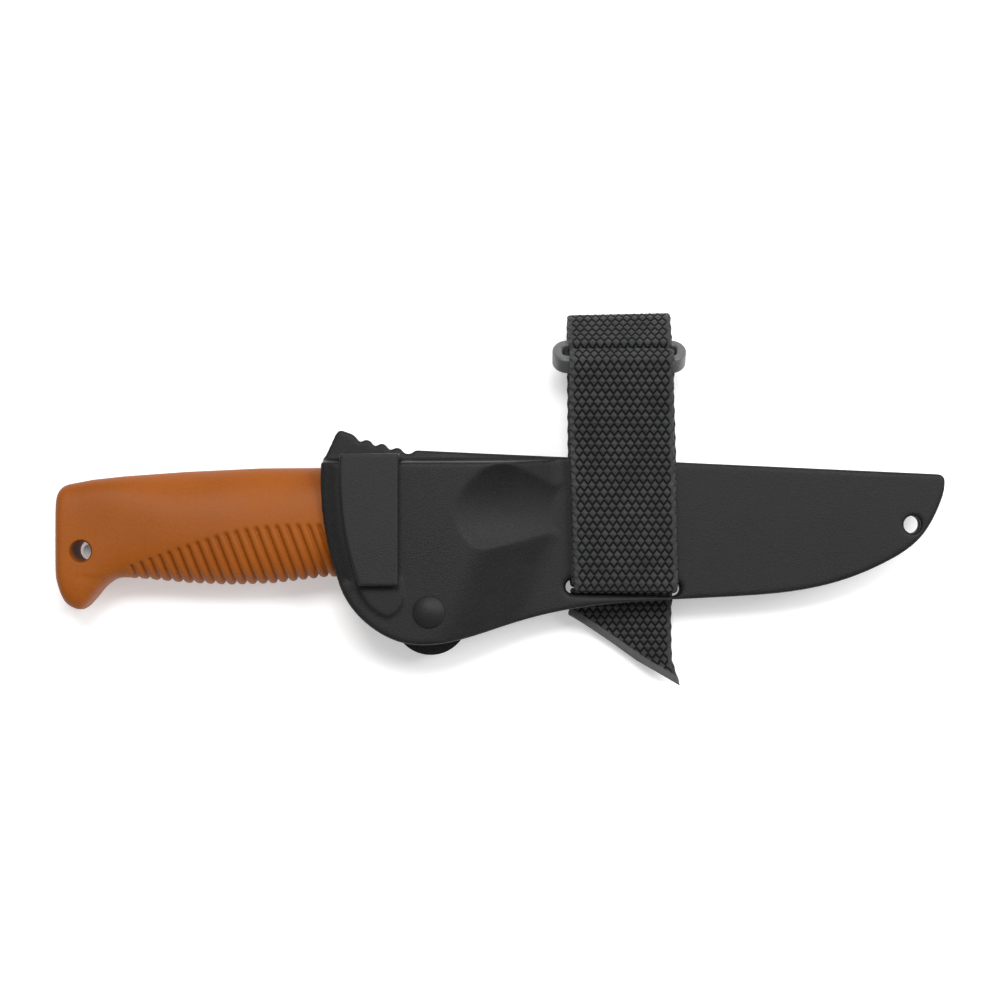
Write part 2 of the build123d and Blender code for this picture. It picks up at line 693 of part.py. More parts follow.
def latch_lever():
    hub = Pos(RIVET_X, RIVET_Y) * Circle(HUB_RADIUS)
    pad = Pos(RIVET_X, RIVET_Y - PAD_OFFSET) * Circle(PAD_RADIUS)
    pad &= make_face(
        Polyline(
            (RIVET_X, RIVET_Y),
            lever_point(BEYOND, PAD_START_ANGLE),
            lever_point(FAR_BEYOND, 285),
            lever_point(BEYOND, PAD_END_ANGLE),
            close=True,
        )
    )
    nose = Pos(*lever_point(NOSE_REACH, NOSE_ANGLE)) * Circle(NOSE_RADIUS)
    web = Pos(RIVET_X, RIVET_Y) * Rot(0, 0, NOSE_ANGLE) * Pos(NOSE_REACH / 2, 0) * Rectangle(
        NOSE_REACH, 2 * NOSE_RADIUS
    )
    arm = Pos(RIVET_X, RIVET_Y) * Rot(0, 0, ARM_ANGLE) * Pos(ARM_LENGTH / 2, -ARM_OFFSET) * RectangleRounded(
        ARM_LENGTH, ARM_WIDTH, 1.2
    )
    face = hub + pad + nose + web + arm
    face -= Pos(RIVET_X, RIVET_Y) * Circle(RIVET_D / 2 + LEVER_BORE_CLEARANCE)
    return slab(LEVER_LOW_Z, LEVER_TOP_Z, face)


# ---------------------------------------------------------------- webbing and ring

def ring_point(u, n):
    """(y, z) of a point in the ring's own frame: u across its slot, n out of its upper face."""
    c, s = cos(radians(RING_TILT)), sin(radians(RING_TILT))
    return (RING_Y + u * c + n * s, RING_Z - u * s + n * c)


def strap_route():
    """Corners of the webbing's middle line in the YZ plane with each corner's radius, eye end first."""
    half = WEB_THICKNESS / 2
    near = PLATE_HALF + WEB_GAP + half
    wall = SLOT_Y + WEB_STEP / 2
    side = WEB_STEP / 2 + 0.02
    out = RING_THICKNESS / 2 + RING_PLAY + half
    past = RING_HEIGHT / 2 + half + 0.6
    fold = LOOP_REACH_Y - half
    table = -PLATEAU_HALF + half + 0.2
    return [
        ((43.0, table + 3.7), 0),
        ((fold - WEB_STEP, table + WEB_STEP + 0.5), 3.1),
        ((fold - WEB_STEP, -3.2), 2.6),
        (ring_point(past - 1.0, -out), 2.0),
        (ring_point(side, -out), 1.2),
        (ring_point(side, out), 1.2),
        (ring_point(past, out), 1.6),
        ((fold, -3.6), 5.0),
        ((fold, table), 4.8),
        ((11.0, -near), 12.0),
        ((wall, -near), 2.0),
        ((wall, near), 2.0),
        ((11.0, near), 20.0),
        (ring_point(-side, -out), 2.2),
        (ring_point(-side, out), 1.2),
        (ring_point(-past, out), 2.4),
        ((9.0, near + WEB_STEP), 30.0),
        ((wall - WEB_STEP, near + WEB_STEP), 3.7),
        ((wall - WEB_STEP, -near - 0.5), 2.0),
        ((-44.0, -9.6), 12.0),
        ((TAIL_END_Y, -4.4), 0),
    ]


def band(corners, thickness, width, x):
    """A flat band of the given thickness along a route in the YZ plane."""
    points = [c for c, _ in corners]
    radii = [r for _, r in corners[1:-1]]
    path = FilletPolyline(points, radius=radii)
    print("band length", round(path.length, 1))
    start = Plane(origin=path @ 0, x_dir=(0, 0, 1), z_dir=path % 0)
    strip = sweep(start * Rectangle(width, thickness), path=path)
    return Plane(origin=(x, 0, 0), x_dir=(0, 1, 0), z_dir=(1, 0, 0)) * strip


def strap_webbing():
    body = band(strap_route(), WEB_THICKNESS, WEB_WIDTH, WEB_X)
    left, right = WEB_X - WEB_WIDTH / 2, WEB_X + WEB_WIDTH / 2
    diagonal = [(left - 1, TAIL_LEFT_Y + 0.7), (right + 1, TAIL_END_Y)]
    cut = make_face(Polyline(*diagonal, (right + 1, -FAR), (left - 1, -FAR), close=True))
    return body - extrude(cut, amount=60, both=True) - sewn_thread()


def sewn_thread():
    """Rows of thread through the two layers of the sewn eye, at the far side of the top fold."""
    half = WEB_THICKNESS / 2
    table = -PLATEAU_HALF + half + 0.2
    rows = []
    for i in range(THREAD_ROWS):
        y = THREAD_Y + i * THREAD_STEP
        bar = Pos(WEB_X, y, table + 1.9) * Rot(0, 90, 0) * Cylinder(THREAD_D / 2, WEB_WIDTH - 4.0)
        rows.append(bar)
    return Part() + rows


def strap_ring():
    long = SLOT_LENGTH - 0.4 + 2 * RING_END
    face = SlotOverall(long, RING_HEIGHT) - RectangleRounded(long - 2 * RING_END, RING_SLOT, 1.2)
    body = extrude(face, amount=RING_THICKNESS / 2, both=True)
    tilt = Rot(-RING_TILT, 0, 0)
    rims = body.faces().filter_by(Axis.Z).edges()
    body = fillet(rims, 0.7)
    return Pos(RING_X, RING_Y, RING_Z) * tilt * body


# ---------------------------------------------------------------- assembly

def everything():
    return {
        "blade": blade(),
        "handle_core": handle_core(),
        "handle_grip": handle_grip(),
        "sheath_back_shell": sheath_back_shell(),
        "sheath_front_shell": sheath_front_shell(),
        "seam_pins": Part() + seam_pins(),
        "belt_clip": belt_clip(),
        "pivot_rivet": pivot_rivet(),
        "rivet_cap": rivet_cap(),
        "rivet_washer": rivet_washer(),
        "latch_lever": latch_lever(),
        "strap_webbing": strap_webbing(),
        "strap_stitching": sewn_thread(),
        "strap_ring": strap_ring(),
    }


def place(parts):
    """Moves the knife so that the box's bottom centre is the origin."""
    box = Compound(children=[Compound(p.solids()) for p in parts.values()]).bounding_box()
    shift = Vector(-(box.min.X + box.max.X) / 2, -(box.min.Y + box.max.Y) / 2, -box.min.Z)
    print("shift", shift)
    return {name: Pos(*shift) * part for name, part in parts.items()}


if __name__ == "__main__":
    os.makedirs("parts", exist_ok=True)
    for name, part in place(everything()).items():
        export_step(part, f"parts/{name}.step")
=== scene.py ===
"""Looks of the rigging knife in its belt sheath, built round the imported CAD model. Metres throughout."""

import math

import bmesh
import bpy
import numpy as np
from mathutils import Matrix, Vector, noise


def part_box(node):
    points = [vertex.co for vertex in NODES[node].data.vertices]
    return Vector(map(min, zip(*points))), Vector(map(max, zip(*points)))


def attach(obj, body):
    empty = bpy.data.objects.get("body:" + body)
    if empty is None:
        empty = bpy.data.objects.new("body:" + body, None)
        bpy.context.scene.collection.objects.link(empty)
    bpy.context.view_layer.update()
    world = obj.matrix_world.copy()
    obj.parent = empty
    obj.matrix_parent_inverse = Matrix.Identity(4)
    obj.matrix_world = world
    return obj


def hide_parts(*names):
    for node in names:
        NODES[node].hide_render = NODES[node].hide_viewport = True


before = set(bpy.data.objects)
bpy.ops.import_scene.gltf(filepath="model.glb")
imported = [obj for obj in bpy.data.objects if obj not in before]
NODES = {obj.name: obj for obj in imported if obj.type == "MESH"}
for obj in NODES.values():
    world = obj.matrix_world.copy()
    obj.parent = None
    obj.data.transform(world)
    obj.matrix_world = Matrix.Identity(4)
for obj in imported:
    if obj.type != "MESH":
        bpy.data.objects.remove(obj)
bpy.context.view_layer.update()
MM = 0.001


def middle(node):
    low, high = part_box(node)
    return (low + high) / 2


# ---------------------------------------------------------------- places that follow from the frame

BLADE_PLANE = middle("blade").z
RING = middle("strap_ring")
RIVET = middle("pivot_rivet")
SLOT_Y = RIVET.y + 6.5 * MM
STRAP_X = middle("strap_webbing").x
STRAP_LOW_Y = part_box("strap_webbing")[0].y
STRAP_TOP_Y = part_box("strap_webbing")[1].y
STRAP_LOW_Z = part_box("strap_webbing")[0].z

# ---------------------------------------------------------------- camera, floor and light

CAMERA_HEIGHT = 0.750
VIEW_WIDTH = 0.290
SENSOR = 36.0
AIM_X = 20.2 * MM
AIM_Y = 31.9 * MM


def make_camera():
    data = bpy.data.cameras.new("camera")
    data.sensor_width = SENSOR
    data.lens = SENSOR * CAMERA_HEIGHT / VIEW_WIDTH
    camera = bpy.data.objects.new("camera", data)
    camera.location = (RIVET.x + AIM_X, RIVET.y + AIM_Y, BLADE_PLANE + CAMERA_HEIGHT)
    bpy.context.scene.collection.objects.link(camera)
    bpy.context.scene.camera = camera


def area_light(name, place, target, size, power):
    data = bpy.data.lights.new(name, "AREA")
    data.shape = "RECTANGLE"
    data.size, data.size_y = size
    data.energy = power
    lamp = bpy.data.objects.new(name, data)
    lamp.location = place
    lamp.rotation_euler = (Vector(target) - Vector(place)).to_track_quat("-Z", "Y").to_euler()
    bpy.context.scene.collection.objects.link(lamp)


def make_light():
    world = bpy.data.worlds.new("studio")
    world.use_nodes = True
    background = world.node_tree.nodes["Background"]
    background.inputs["Color"].default_value = (1.0, 1.0, 1.0, 1.0)
    background.inputs["Strength"].default_value = 0.40
    bpy.context.scene.world = world
    area_light("key", (-0.06, 0.46, 1.08), (0.0, 0.0, 0.0), (0.40, 0.32), 8.8)
    area_light("fill", (0.62, 0.34, 0.80), (0.0, 0.0, 0.0), (0.50, 0.50), 6.6)
    bpy.context.scene.view_settings.view_transform = "Standard"
    bpy.context.scene.view_settings.look = "None"


def make_floor():
    bpy.ops.mesh.primitive_plane_add(size=6.0, location=(0, 0, -0.00002))
    floor = bpy.context.object
    floor.name = "floor"
    material = bpy.data.materials.new("floor_white")
    material.use_nodes = True
    shader = material.node_tree.nodes["Principled BSDF"]
    shader.inputs["Base Color"].default_value = (0.93, 0.93, 0.93, 1)
    shader.inputs["Roughness"].default_value = 0.9
    shader.inputs["Specular IOR Level"].default_value = 0.1
    shader.inputs["Emission Color"].default_value = (1, 1, 1, 1)
    shader.inputs["Emission Strength"].default_value = 0.30
    floor.data.materials.append(material)


# ---------------------------------------------------------------- material tools

class Nodes:
    """Short names for wiring one material's nodes."""

    def __init__(self, name):
        self.material = bpy.data.materials.new(name)
        self.material.use_nodes = True
        self.tree = self.material.node_tree
        self.shader = self.tree.nodes["Principled BSDF"]

    def add(self, kind, **values):
        node = self.tree.nodes.new(kind)
        for key, value in values.items():
            if hasattr(node, key):
                setattr(node, key, value)
            else:
                node.inputs[key.replace("_", " ")].default_value = value
        return node

    def link(self, source, target):
        self.tree.links.new(source, target)

    def math(self, operation, a, b=None):
        node = self.add("ShaderNodeMath", operation=operation)
        for slot, value in enumerate((a, b)):
            if value is None:
                continue
            if isinstance(value, (int, float)):
                node.inputs[slot].default_value = value
            else:
                self.link(value, node.inputs[slot])
        return node.outputs[0]

    def noise(self, scale, detail=2.0, roughness=0.5, vector=None):
        node = self.add("ShaderNodeTexNoise", Scale=scale, Detail=detail, Roughness=roughness)
        self.link(vector if vector is not None else self.place(), node.inputs["Vector"])
        return node.outputs["Fac"]

    def place(self):
        return self.add("ShaderNodeTexCoord").outputs["Object"]

    def ramp(self, value, low, high, dark, light):
        node = self.add("ShaderNodeMapRange")
        node.inputs["From Min"].default_value = low
        node.inputs["From Max"].default_value = high
        node.inputs["To Min"].default_value = dark
        node.inputs["To Max"].default_value = light
        self.link(value, node.inputs["Value"])
        return node.outputs["Result"]

    def colour(self, value, dark, light):
        node = self.add("ShaderNodeMix", data_type="RGBA")
        node.inputs[6].default_value = (*dark, 1)
        node.inputs[7].default_value = (*light, 1)
        self.link(value, node.inputs[0])
        self.link(node.outputs[2], self.shader.inputs["Base Color"])

    def bump(self, value, distance, strength=1.0, below=None):
        node = self.add("ShaderNodeBump")
        node.inputs["Distance"].default_value = distance
        node.inputs["Strength"].default_value = strength
        self.link(value, node.inputs["Height"])
        if below is not None:
            self.link(below, node.inputs["Normal"])
        return node.outputs["Normal"]

    def round_edges(self, radius):
        node = self.add("ShaderNodeBevel", samples=6)
        node.inputs["Radius"].default_value = radius
        return node.outputs["Normal"]

    def normal(self, value):
        self.link(value, self.shader.inputs["Normal"])

    def set(self, **values):
        for key, value in values.items():
            self.shader.inputs[key.replace("_", " ")].default_value = value
        return self


def moulded(name, dark, light, roughness, grain=0.00034, depth=0.00007, edge=0.0005, gloss=0.3):
    """Injection-moulded plastic with a fine pebble grain."""
    m = Nodes(name)
    pebble = m.add("ShaderNodeTexVoronoi", feature="SMOOTH_F1", Scale=1 / grain, Smoothness=0.6)
    m.link(m.place(), pebble.inputs["Vector"])
    fine = m.noise(1.6 / grain, 1.0)
    cloud = m.noise(55.0, 4.0, 0.6)
    mix = m.math("ADD", m.math("MULTIPLY", fine, 0.75), m.math("MULTIPLY", cloud, 0.25))
    m.colour(m.ramp(mix, 0.40, 0.60, 0.0, 1.0), dark, light)
    m.link(m.ramp(cloud, 0.3, 0.7, roughness - 0.05, roughness + 0.05), m.shader.inputs["Roughness"])
    height = m.math("ADD", pebble.outputs["Distance"], m.math("MULTIPLY", fine, 0.6))
    m.normal(m.bump(height, depth, 0.9, m.round_edges(edge)))
    m.set(Specular_IOR_Level=gloss)
    return m.material


def orange_rubber():
    m = Nodes("orange_rubber")
    cloud = m.noise(40.0, 3.0)
    fine = m.noise(2600.0, 1.0)
    mix = m.math("ADD", m.math("MULTIPLY", cloud, 0.5), m.math("MULTIPLY", fine, 0.5))
    m.colour(m.ramp(mix, 0.35, 0.65, 0.0, 1.0), (0.232, 0.056, 0.002), (0.290, 0.074, 0.004))
    m.link(m.ramp(cloud, 0.3, 0.7, 0.50, 0.60), m.shader.inputs["Roughness"])
    m.normal(m.bump(fine, 0.00003, 0.6, m.round_edges(0.0003)))
    m.set(Specular_IOR_Level=0.22)
    return m.material


def steel(name, colour, roughness, along=(30.0, 900.0, 900.0)):
    m = Nodes(name)
    mapping = m.add("ShaderNodeMapping")
    mapping.inputs["Scale"].default_value = along
    m.link(m.place(), mapping.inputs["Vector"])
    brushed = m.noise(4.0, 3.0, 0.6, mapping.outputs["Vector"])
    m.colour(m.ramp(brushed, 0.3, 0.7, 0.0, 1.0), tuple(c * 0.82 for c in colour), colour)
    m.link(m.ramp(brushed, 0.3, 0.7, roughness - 0.07, roughness + 0.1), m.shader.inputs["Roughness"])
    m.normal(m.bump(brushed, 0.00001, 0.5, m.round_edges(0.00015)))
    m.set(Metallic=1.0)
    return m.material


# ---------------------------------------------------------------- webbing

WEB_WIDTH = 30.0 * MM
WEB_HALF = WEB_WIDTH / 2
WEB_THICKNESS = 1.6 * MM
WEB_GAP = 0.15 * MM
PLATE_HALF = 4.2 * MM
RING_OUT = 3.05 * MM
RING_HALF_HEIGHT = 4.55 * MM
PASS_ANGLE = math.radians(45)
DIAMOND_ACROSS = 2.27 * MM
DIAMOND_ROW = 2.0 * MM
ZIGZAG = 1.36 * MM
ZIGZAG_LEAN = 0.65
# painted shade in the zigzag channels between the lozenges: full near-black out to the first width, fading
# out by the second
SHADED_CHANNEL = 0.15 * MM
CHANNEL_SHADE_FADE = 0.44 * MM
DOME_REACH = 0.95 * MM
DOME_POWER = 0.7
SELVEDGE = 1.25 * MM
SELVEDGE_BLEND = 0.2 * MM
# painted shade in the gaps between the selvedge knots: full near-black out to the first width, fading out by
# the second
SHADED_KNOT_GAP = 0.12 * MM
KNOT_SHADE_FADE = 0.4 * MM
YARN = 0.42 * MM
COLUMNS = 66
RELIEF = 0.42 * MM
EDGE_ROUND = 0.8 * MM
TAIL_CLEAR = 6.5 * MM
CUT_START = 1.6 * MM
CUT_SLANT = 0.80
FAN_LENGTH = 9.0 * MM
MELT_WIDTH = 1.9 * MM
FOLD_LEAN = 0.022
FOLD_REACH = 9 * MM
# share of the strap's length, then its sideways shift there in mm
DRIFT = [
    (0.0, -0.6), (0.13, -0.6), (0.30, -0.4), (0.44, 0.4), (0.52, 0.7), (0.66, -0.2), (0.70, -0.45),
    (0.87, 1.05), (0.93, -0.1), (0.975, 0.3), (1.0, 2.4),
]


def webbing_material():
    """Woven polypropylene: lozenge ribs between zigzag channels, from the strap's own coordinates; painted
    shade turns the channels and the gaps between selvedge knots near-black, and a painted sheen lightens the
    melted end.
    """
    m = Nodes("black_webbing")
    strap = m.add("ShaderNodeAttribute", attribute_name="strap_place").outputs["Vector"]
    split = m.add("ShaderNodeSeparateXYZ")
    m.link(strap, split.inputs[0])
    across, along, melt_and_sheen = split.outputs
    yarn = m.add("ShaderNodeTexWave", wave_type="BANDS", bands_direction="X", Scale=1.0 / YARN)
    yarn.inputs["Distortion"].default_value = 1.2
    yarn.inputs["Detail"].default_value = 1.0
    m.link(strap, yarn.inputs["Vector"])
    fine = m.noise(4200.0, 2.0)
    cloud = m.noise(160.0, 3.0)
    wave = m.math("PINGPONG", m.math("DIVIDE", across, DIAMOND_ACROSS), 0.5)
    lean = m.math("MULTIPLY", m.math("SUBTRACT", 0.25, wave), 2 * ZIGZAG)
    down = m.math("SUBTRACT", m.math("SUBTRACT", along, lean), 0.5 * DIAMOND_ROW)
    even = m.math("PINGPONG", down, DIAMOND_ROW)
    up = m.math("SUBTRACT", m.math("ADD", along, lean), 1.5 * DIAMOND_ROW)
    odd = m.math("PINGPONG", up, DIAMOND_ROW)
    gap = m.math("MULTIPLY", m.math("MINIMUM", even, odd), ZIGZAG_LEAN)
    # mask of the painted shade in the channels: 0 in a channel, 1 on the lozenges
    lozenge = m.ramp(gap, SHADED_CHANNEL, CHANNEL_SHADE_FADE, 0.0, 1.0)
    dome = m.math("POWER", m.ramp(gap, 0.0, DOME_REACH, 0.0, 1.0), DOME_POWER)
    woven = WEB_HALF - SELVEDGE
    edge = m.ramp(m.math("ABSOLUTE", across), woven - SELVEDGE_BLEND, woven, 0.0, 1.0)
    # mask of the same painted shade in the gaps between the selvedge knots
    knot_outside_shade = m.ramp(m.math("PINGPONG", along, DIAMOND_ROW / 2), SHADED_KNOT_GAP, KNOT_SHADE_FADE, 0.0, 1.0)
    outside_painted_shade = m.math("MAXIMUM", m.math("MAXIMUM", lozenge, m.math("MULTIPLY", edge, knot_outside_shade)), melt_and_sheen)
    tone = m.math("MULTIPLY", outside_painted_shade, m.ramp(m.math("ADD", fine, cloud), 0.7, 1.3, 0.25, 0.5))
    # the melted end is painted lighter: a painted sheen over its real thinner, smoother band
    tone = m.math("ADD", tone, m.math("MULTIPLY", melt_and_sheen, 0.4))
    # the near-black end of this ramp is the painted shade of the channels and knot gaps; the lighter end is
    # the yarn's own random tone
    m.colour(tone, (0.0004, 0.0004, 0.0004), (0.135, 0.136, 0.138))
    m.link(m.ramp(outside_painted_shade, 0.0, 1.0, 0.9, 0.52), m.shader.inputs["Roughness"])
    m.set(Specular_IOR_Level=0.25)
    height = m.math("ADD", m.math("MULTIPLY", yarn.outputs["Fac"], 0.12), m.math("MULTIPLY", fine, 0.22))
    height = m.math("ADD", height, m.math("MAXIMUM", dome, m.math("MULTIPLY", melt_and_sheen, 0.8)))
    m.normal(m.bump(height, 0.00065, 1.0))
    return m.material


def strap_corners():
    """The strap's middle line seen along X: (y, z) corners with their radii, eye end first."""
    half = WEB_THICKNESS / 2
    step = WEB_THICKNESS + WEB_GAP
    near = PLATE_HALF + WEB_GAP + half
    wall = SLOT_Y + step / 2
    side = step / 2 + 0.02 * MM
    out = RING_OUT + half
    past = RING_HALF_HEIGHT + half + 0.6 * MM
    fold = STRAP_TOP_Y - half
    table = STRAP_LOW_Z - BLADE_PLANE + half

    def ring(u, n):
        y = RING.y + u * math.cos(PASS_ANGLE) + n * math.sin(PASS_ANGLE)
        return (y, RING.z - BLADE_PLANE - u * math.sin(PASS_ANGLE) + n * math.cos(PASS_ANGLE))

    corners = [
        ((RING.y + 1.65 * MM, table + 3.7 * MM), 0.0),
        ((fold - step, table + step + 0.5 * MM), 3.1),
        ((fold - step, -3.2 * MM), 2.6),
        (ring(past - 1.0 * MM, -out), 2.0),
        (ring(side, -out), 1.2),
        (ring(side, out), 1.2),
        (ring(past, out), 1.6),
        ((fold, -3.6 * MM), 5.0),
        ((fold, table), 4.8),
        ((RING.y - 30.35 * MM, -near), 12.0),
        ((wall, -near), 2.0),
        ((wall, near), 2.0),
        ((RING.y - 30.35 * MM, near), 20.0),
        (ring(-side, -out), 2.2),
        (ring(-side, out), 1.2),
        (ring(-past, out), 2.4),
        ((RING.y - 32.35 * MM, near + step), 30.0),
        ((wall - step, near + step), 3.7),
        ((wall - step, -near - 0.5 * MM), 2.0),
        ((SLOT_Y - 18.6 * MM, -9.6 * MM), 12.0),
        ((STRAP_LOW_Y, -4.4 * MM), 0.0),
    ]
    return [(Vector(at), radius * MM) for at, radius in corners]


def rounded(corners, spacing):
    """Points along the corners' rounded line, evenly spaced, as an array of (y, z)."""
    points = [corners[0][0]]
    for (before, _), (at, radius), (after, _) in zip(corners, corners[1:], corners[2:]):
        back, ahead = (before - at).normalized(), (after - at).normalized()
        half = back.angle(ahead) / 2
        reach = radius / math.tan(half)
        start, stop = at + back * reach, at + ahead * reach
        centre = at + (back + ahead).normalized() * radius / math.sin(half)
        turn = math.pi - 2 * half
        steps = max(3, int(turn / 0.12))
        a, b = start - centre, stop - centre
        for i in range(steps + 1):
            t = i / steps
            points.append(centre + (a * math.sin((1 - t) * turn) + b * math.sin(t * turn)) / math.sin(turn))
    points.append(corners[-1][0])
    line = np.array([tuple(p) for p in points])
    gaps = np.hypot(*np.diff(line, axis=0).T)
    reached = np.concatenate([[0], np.cumsum(gaps)])
    count = int(reached[-1] / spacing) + 1
    wanted = np.linspace(0, reached[-1], count)
    even = np.stack([np.interp(wanted, reached, line[:, i]) for i in (0, 1)], axis=1)
    return wanted, even


def weave_gap(across, along):
    """How far each point of the strap is from the nearest zigzag channel between the rows of lozenges."""
    lean = (1 - 4 * triangle(across / DIAMOND_ACROSS, 0.5)) * ZIGZAG / 2
    even = triangle(along - 0.5 * DIAMOND_ROW - lean, DIAMOND_ROW)
    odd = triangle(along - 1.5 * DIAMOND_ROW + lean, DIAMOND_ROW)
    return np.minimum(even, odd) * ZIGZAG_LEAN


def triangle(value, peak):
    """A wave that rises from 0 to peak and falls again, twice peak long."""
    return peak - np.abs(np.mod(value, 2 * peak) - peak)


def smooth(value):
    value = np.clip(value, 0, 1)
    return value * value * (3 - 2 * value)


def cut_end(reached, line, x):
    """Where the slant of the heat-cut end starts along the strap, and where the strap ends at each x."""
    length = reached[-1]
    tail = line[:, 0] < SLOT_Y - TAIL_CLEAR
    tail &= reached > length * 0.8
    first = reached[np.argmax(tail)]
    share = (x + WEB_HALF) / WEB_WIDTH
    end = first + CUT_START + (length - first - CUT_START) * (0.04 * share + 0.96 * share**1.08)
    return first - FAN_LENGTH, end


def half_thickness(xs, s, away, melt_and_sheen, grain, fan):
    """The strap's half thickness: domed lozenges, knotted selvedges, rounded edges and a thin melted end."""
    edge = WEB_HALF - np.abs(xs)
    body = smooth((edge - SELVEDGE) / (0.3 * MM))
    lozenge = np.clip(weave_gap(xs, s) / DOME_REACH, 0, 1) ** DOME_POWER
    knots = 0.55 + 0.45 * np.cos(2 * math.pi * s / DIAMOND_ROW + np.where(xs > 0, math.pi, 0))
    rise = body * lozenge + (1 - body) * knots * 0.7
    rise = rise * (1 - melt_and_sheen) + melt_and_sheen * (0.55 + 0.5 * grain)
    belly = WEB_THICKNESS / 2 - RELIEF + RELIEF * rise
    belly = belly * np.sqrt(np.clip(1 - (1 - np.clip(edge / EDGE_ROUND, 0, 1)) ** 2, 0.02, 1))
    finish = np.clip(away / (0.5 * MM), 0, 1)
    belly = np.where(s > fan, belly * np.sqrt(np.clip(finish, 0.12, 1)), belly)
    return belly, body


def strap_surfaces(reached, line, xs, s, grain, belly, body):
    """Points of the strap's two faces, one after the other."""
    cy, cz = np.interp(s, reached, line[:, 0]), np.interp(s, reached, line[:, 1])
    step = 0.15 * MM
    ty = np.interp(s + step, reached, line[:, 0]) - np.interp(s - step, reached, line[:, 0])
    tz = np.interp(s + step, reached, line[:, 1]) - np.interp(s - step, reached, line[:, 1])
    size = np.hypot(ty, tz)
    ny, nz = tz / size, -ty / size
    shares, shifts = (np.array(c) for c in zip(*DRIFT))
    side = np.interp(s, shares * reached[-1], shifts * MM)
    wobble = 0.10 * MM * np.cos(math.pi * s / DIAMOND_ROW) * (1 - body)
    lift = np.exp(-(((cy - STRAP_TOP_Y) / FOLD_REACH) ** 2)) * xs * FOLD_LEAN
    cy = cy + np.where(cz > -12 * MM, lift, 0)
    px = STRAP_X + side + xs + np.sign(xs) * wobble + grain * 0.05 * MM
    verts = []
    for face in (1, -1):
        y = cy + ny * belly * face
        z = cz + nz * belly * face + BLADE_PLANE
        verts.append(np.stack([px, y, z], axis=-1).reshape(-1, 3))
    return np.concatenate(verts)


def strap_faces(rows, cols):
    """Quads of the strap's two faces, its two edges and its two ends."""
    per = rows * cols
    faces = []
    for i in range(rows - 1):
        a = i * cols
        for j in range(cols - 1):
            k = a + j
            faces.append((k, k + 1, k + cols + 1, k + cols))
            k += per
            faces.append((k, k + cols, k + cols + 1, k + 1))
        for j, flip in ((0, False), (cols - 1, True)):
            k = a + j
            quad = (k, k + cols, k + cols + per, k + per)
            faces.append(quad[::-1] if flip else quad)
    for i, flip in ((0, True), (rows - 1, False)):
        for j in range(cols - 1):
            k = i * cols + j
            quad = (k, k + 1, k + 1 + per, k + per)
            faces.append(quad[::-1] if flip else quad)
    return faces


def make_webbing():
    """The strap: its woven faces along the rounded route, with its own coordinates kept for the shader."""
    reached, line = rounded(strap_corners(), DIAMOND_ROW / 5)
    length = reached[-1]
    x = np.linspace(-WEB_HALF, WEB_HALF, COLUMNS + 1)
    fan, end = cut_end(reached, line, x)
    s = np.repeat(reached[:, None], COLUMNS + 1, axis=1)
    late = np.clip((reached - fan) / (length - fan), 0, 1)[:, None]
    s = np.where(s > fan, fan + late * (end[None, :] - fan), s)
    xs = np.repeat(x[None, :], len(reached), axis=0)
    away = (end[None, :] - s) * CUT_SLANT
    melt_and_sheen = np.where(s > fan, 1 - smooth((away - MELT_WIDTH) / (0.4 * MM)), 0)
    begin = 1 - smooth((s - 0.8 * MM) / (0.5 * MM))
    melt_and_sheen = np.clip(melt_and_sheen + begin, 0, 1)
    grain = np.array([noise.noise(Vector((a * 700, b * 700, 0.3))) for a, b in zip(xs.ravel(), s.ravel())])
    grain = grain.reshape(xs.shape)
    belly, body = half_thickness(xs, s, away, melt_and_sheen, grain, fan)
    verts = strap_surfaces(reached, line, xs, s, grain, belly, body)
    mesh = bpy.data.meshes.new("webbing")
    mesh.from_pydata(verts.tolist(), [], strap_faces(len(reached), COLUMNS + 1))
    place = mesh.attributes.new("strap_place", "FLOAT_VECTOR", "POINT")
    values = np.stack([xs, s, melt_and_sheen], axis=-1).reshape(-1, 3)
    place.data.foreach_set("vector", np.concatenate([values, values]).astype(np.float32).ravel())
    mesh.polygons.foreach_set("use_smooth", [True] * len(mesh.polygons))
    piece = bpy.data.objects.new("webbing_strap", mesh)
    bpy.context.scene.collection.objects.link(piece)
    recalc(piece)
    mesh.materials.append(webbing_material())
    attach(piece, "sheath")
    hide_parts("strap_webbing")


def recalc(piece):
    bm = bmesh.new()
    bm.from_mesh(piece.data)
    bmesh.ops.recalc_face_normals(bm, faces=bm.faces)
    bm.to_mesh(piece.data)
    bm.free()


# ---------------------------------------------------------------- grip

GRIP_HALF = 10.5 * MM
GUARD_HALF = 8.0 * MM
RIB_PITCH = 3.06 * MM
RIB_DEPTH = 1.25 * MM
RIB_SLANT = math.radians(20)
FIRST_RIB = 22.25 * MM
RIB_FOOT_Y = -23.0 * MM
LAST_RIB = 87.0 * MM
RIB_START = 20.6 * MM
RIB_BLEND = 1.0 * MM
RIB_SHARPNESS = 1.5
BARREL_POWER = 2.35
SQUARE_POWER = 2.4
CORNER_REACH = 4.6 * MM
HOLE_INSET = 8.0 * MM
HOLE_DROP = 14.8 * MM
HOLE_RADIUS = 2.95 * MM
HOLE_FLARE = 0.7 * MM
HOLE_SIDES = 64
NOSE_INNER = 4.0 * MM
NOSE_OUTER = 13.4 * MM
